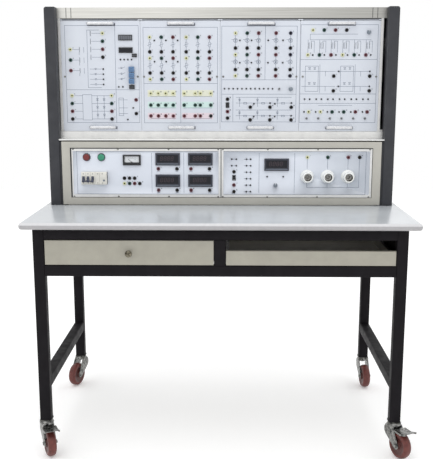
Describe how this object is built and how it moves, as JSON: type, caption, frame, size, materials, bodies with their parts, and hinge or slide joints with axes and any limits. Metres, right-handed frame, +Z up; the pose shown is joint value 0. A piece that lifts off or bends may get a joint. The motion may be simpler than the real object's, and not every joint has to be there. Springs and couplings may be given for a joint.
{
  "type": "power electronics training bench",
  "caption": "Laboratory bench on lockable castors with a drawer, a keyboard tray and a rack of hanging experiment modules over a mains supply panel.",
  "frame": {"origin": "on the floor under the middle of the worktop", "axes": "+X to the right seen from the front, the front faces -Y, +Z up"},
  "size_m": [1.4076, 0.8462, 1.628],
  "materials": {
    "frame_paint": "satin powder coat",
    "rack_paint": "satin powder coat",
    "worktop_laminate": "fine matt high-pressure laminate on chipboard",
    "putty_paint": "satin powder coat",
    "zinc_steel": "bright zinc plate",
    "wheel_red": "cast polyurethane",
    "brushed_stainless": "brushed",
    "anodised_aluminium": "satin anodised",
    "panel_white": "satin printed panel",
    "chrome": "polished",
    "meter_black": "moulded",
    "breaker_ivory": "moulded",
    "lever_blue": "moulded",
    "button_red": "moulded",
    "button_green": "moulded",
    "porcelain": "glazed porcelain",
    "brass": "pressed",
    "knob_grey": "moulded",
    "socket_black": "moulded",
    "socket_red": "moulded",
    "socket_green": "moulded",
    "socket_yellow": "moulded",
    "relay_blue": "moulded",
    "display_glass": "tinted window",
    "clear_glass": "clear window",
    "panel_ink": "screen-printed ink"
  },
  "bodies": {
    "root": {"legs": "frame_paint", "frame_rails": "frame_paint", "side_stretchers": "frame_paint", "worktop": "worktop_laminate", "runners": "zinc_steel", "rack_posts": "rack_paint", "rack_covers": "rack_paint", "header_rail": "brushed_stainless", "module_rails": "anodised_aluminium", "power_cabinet": "putty_paint", "power_panels": "panel_white", "panel_meters": "meter_black", "breaker_body": "breaker_ivory", "button_collars": "meter_black", "lamp_holders": "porcelain", "lamp_shells": "brass", "power_sockets": "socket_black", "caster_mounts": "zinc_steel"},
    "drawer": {"drawer_box": "putty_paint", "drawer_knob": "chrome"},
    "keyboard_tray": {"keyboard_tray": "putty_paint"},
    "module_1": {"module_1_case": "panel_white", "module_1_handles": "chrome", "module_1_sockets": "socket_black"},
    "module_2": {"module_2_case": "panel_white", "module_2_handles": "chrome", "module_2_sockets": "socket_black"},
    "module_3": {"module_3_case": "panel_white", "module_3_handles": "chrome", "module_3_sockets": "socket_black"},
    "module_4": {"module_4_case": "panel_white", "module_4_handles": "chrome", "module_4_sockets": "socket_black"},
    "meter_needle": {"meter_needle": "meter_black"},
    "breaker_lever": {"breaker_lever": "lever_blue"},
    "breaker_test_button": {"breaker_test_button": "knob_grey"},
    "stop_button": {"stop_button": "button_red"},
    "start_button": {"start_button": "button_green"},
    "load_knob": {"load_knob": "knob_grey"},
    "power_rocker": {"power_rocker": "socket_black"},
    "module_3_knob": {"module_3_knob": "knob_grey"},
    "module_3_rocker": {"module_3_rocker": "socket_black"},
    "module_3_toggle": {"module_3_toggle": "chrome"},
    "module_4_knob": {"module_4_knob": "knob_grey"},
    "channel_toggle_1": {"channel_toggle_1": "chrome"},
    "channel_toggle_2": {"channel_toggle_2": "chrome"},
    "channel_toggle_3": {"channel_toggle_3": "chrome"},
    "channel_toggle_4": {"channel_toggle_4": "chrome"},
    "channel_toggle_5": {"channel_toggle_5": "chrome"},
    "channel_toggle_6": {"channel_toggle_6": "chrome"},
    "front_left_swivel": {"front_left_fork": "zinc_steel"},
    "front_left_wheel": {"front_left_wheel": "wheel_red"},
    "front_left_brake": {"front_left_brake": "zinc_steel"},
    "front_right_swivel": {"front_right_fork": "zinc_steel"},
    "front_right_wheel": {"front_right_wheel": "wheel_red"},
    "front_right_brake": {"front_right_brake": "zinc_steel"},
    "rear_left_swivel": {"rear_left_fork": "zinc_steel"},
    "rear_left_wheel": {"rear_left_wheel": "wheel_red"},
    "rear_right_swivel": {"rear_right_fork": "zinc_steel"},
    "rear_right_wheel": {"rear_right_wheel": "wheel_red"}
  },
  "joints": [
    {"name": "drawer_slide", "type": "slide", "parent": "root", "child": "drawer", "axis": [0, -1, 0], "range_m": [0, 0.38]},
    {"name": "tray_slide", "type": "slide", "parent": "root", "child": "keyboard_tray", "axis": [0, -1, 0], "range_m": [0, 0.34]},
    {"name": "module_1_lift", "type": "slide", "parent": "root", "child": "module_1", "axis": [0, 0, 1], "range_m": [0, 0.0085]},
    {"name": "module_2_lift", "type": "slide", "parent": "root", "child": "module_2", "axis": [0, 0, 1], "range_m": [0, 0.0085]},
    {"name": "module_3_lift", "type": "slide", "parent": "root", "child": "module_3", "axis": [0, 0, 1], "range_m": [0, 0.0085]},
    {"name": "module_4_lift", "type": "slide", "parent": "root", "child": "module_4", "axis": [0, 0, 1], "range_m": [0, 0.0085]},
    {"name": "stop_button_press", "type": "slide", "parent": "root", "child": "stop_button", "axis": [0, 1, 0], "range_m": [0, 0.004], "stiffness_N_per_m": 500},
    {"name": "start_button_press", "type": "slide", "parent": "root", "child": "start_button", "axis": [0, 1, 0], "range_m": [0, 0.004], "stiffness_N_per_m": 500},
    {"name": "breaker_test_press", "type": "slide", "parent": "root", "child": "breaker_test_button", "axis": [0, 1, 0], "range_m": [0, 0.0015], "stiffness_N_per_m": 500},
    {"name": "breaker_lever_throw", "type": "hinge", "parent": "root", "child": "breaker_lever", "pos_m": [-0.4975, 0.012, 0.9775], "axis": [-1, 0, 0], "range_deg": [0, 84]},
    {"name": "meter_needle_swing", "type": "hinge", "parent": "root", "child": "meter_needle", "pos_m": [-0.3495, 0.024, 1.039], "axis": [0, 1, 0], "range_deg": [0, 90]},
    {"name": "load_knob_turn", "type": "hinge", "parent": "root", "child": "load_knob", "pos_m": [0.214, 0.027, 0.95], "axis": [0, 1, 0], "range_deg": [-150, 150]},
    {"name": "power_rocker_tip", "type": "hinge", "parent": "root", "child": "power_rocker", "pos_m": [0.051, 0.027, 0.979], "axis": [-1, 0, 0], "range_deg": [0, 22]},
    {"name": "module_3_rocker_tip", "type": "hinge", "parent": "module_3", "child": "module_3_rocker", "pos_m": [0.0246, 0.07, 1.2595], "axis": [-1, 0, 0], "range_deg": [0, 22]},
    {"name": "module_3_toggle_throw", "type": "hinge", "parent": "module_3", "child": "module_3_toggle", "pos_m": [0.2256, 0.0672, 1.3215], "axis": [-1, 0, 0], "range_deg": [0, 26]},
    {"name": "module_3_knob_turn", "type": "hinge", "parent": "module_3", "child": "module_3_knob", "pos_m": [0.2706, 0.07, 1.3215], "axis": [0, 1, 0], "range_deg": [-150, 150]},
    {"name": "module_4_knob_turn", "type": "hinge", "parent": "module_4", "child": "module_4_knob", "pos_m": [0.566, 0.07, 1.5355], "axis": [0, 1, 0], "range_deg": [-150, 150]},
    {"name": "channel_toggle_1_throw", "type": "hinge", "parent": "module_4", "child": "channel_toggle_1", "pos_m": [0.334, 0.0672, 1.2085], "axis": [-1, 0, 0], "range_deg": [0, 26]},
    {"name": "channel_toggle_2_throw", "type": "hinge", "parent": "module_4", "child": "channel_toggle_2", "pos_m": [0.3796, 0.0672, 1.2085], "axis": [-1, 0, 0], "range_deg": [0, 26]},
    {"name": "channel_toggle_3_throw", "type": "hinge", "parent": "module_4", "child": "channel_toggle_3", "pos_m": [0.4252, 0.0672, 1.2085], "axis": [-1, 0, 0], "range_deg": [0, 26]},
    {"name": "channel_toggle_4_throw", "type": "hinge", "parent": "module_4", "child": "channel_toggle_4", "pos_m": [0.4708, 0.0672, 1.2085], "axis": [-1, 0, 0], "range_deg": [0, 26]},
    {"name": "channel_toggle_5_throw", "type": "hinge", "parent": "module_4", "child": "channel_toggle_5", "pos_m": [0.5164, 0.0672, 1.2085], "axis": [-1, 0, 0], "range_deg": [0, 26]},
    {"name": "channel_toggle_6_throw", "type": "hinge", "parent": "module_4", "child": "channel_toggle_6", "pos_m": [0.562, 0.0672, 1.2085], "axis": [-1, 0, 0], "range_deg": [0, 26]},
    {"name": "front_left_swivel_turn", "type": "hinge", "parent": "root", "child": "front_left_swivel", "pos_m": [-0.64, -0.345, 0.1166], "axis": [0, 0, 1], "continuous": true},
    {"name": "front_left_wheel_roll", "type": "hinge", "parent": "front_left_swivel", "child": "front_left_wheel", "pos_m": [-0.62309, -0.38125, 0.05], "axis": [0.9063, 0.4226, 0], "continuous": true},
    {"name": "front_left_brake_press", "type": "hinge", "parent": "front_left_swivel", "child": "front_left_brake", "pos_m": [-0.63324, -0.3595, 0.105], "axis": [0.9063, 0.4226, 0], "range_deg": [0, 7]},
    {"name": "front_right_swivel_turn", "type": "hinge", "parent": "root", "child": "front_right_swivel", "pos_m": [0.64, -0.345, 0.1166], "axis": [0, 0, 1], "continuous": true},
    {"name": "front_right_wheel_roll", "type": "hinge", "parent": "front_right_swivel", "child": "front_right_wheel", "pos_m": [0.65878, -0.38032, 0.05], "axis": [0.8829, 0.4695, 0], "continuous": true},
    {"name": "front_right_brake_press", "type": "hinge", "parent": "front_right_swivel", "child": "front_right_brake", "pos_m": [0.64751, -0.35913, 0.105], "axis": [0.8829, 0.4695, 0], "range_deg": [0, 7]},
    {"name": "rear_left_swivel_turn", "type": "hinge", "parent": "root", "child": "rear_left_swivel", "pos_m": [-0.64, 0.371, 0.1166], "axis": [0, 0, 1], "continuous": true},
    {"name": "rear_left_wheel_roll", "type": "hinge", "parent": "rear_left_swivel", "child": "rear_left_wheel", "pos_m": [-0.65498, 0.33391, 0.05], "axis": [0.9272, -0.3746, 0], "continuous": true},
    {"name": "rear_right_swivel_turn", "type": "hinge", "parent": "root", "child": "rear_right_swivel", "pos_m": [0.64, 0.371, 0.1166], "axis": [0, 0, 1], "continuous": true},
    {"name": "rear_right_wheel_roll", "type": "hinge", "parent": "rear_right_swivel", "child": "rear_right_wheel", "pos_m": [0.64418, 0.33122, 0.05], "axis": [0.9945, 0.1045, 0], "continuous": true}
  ]
}
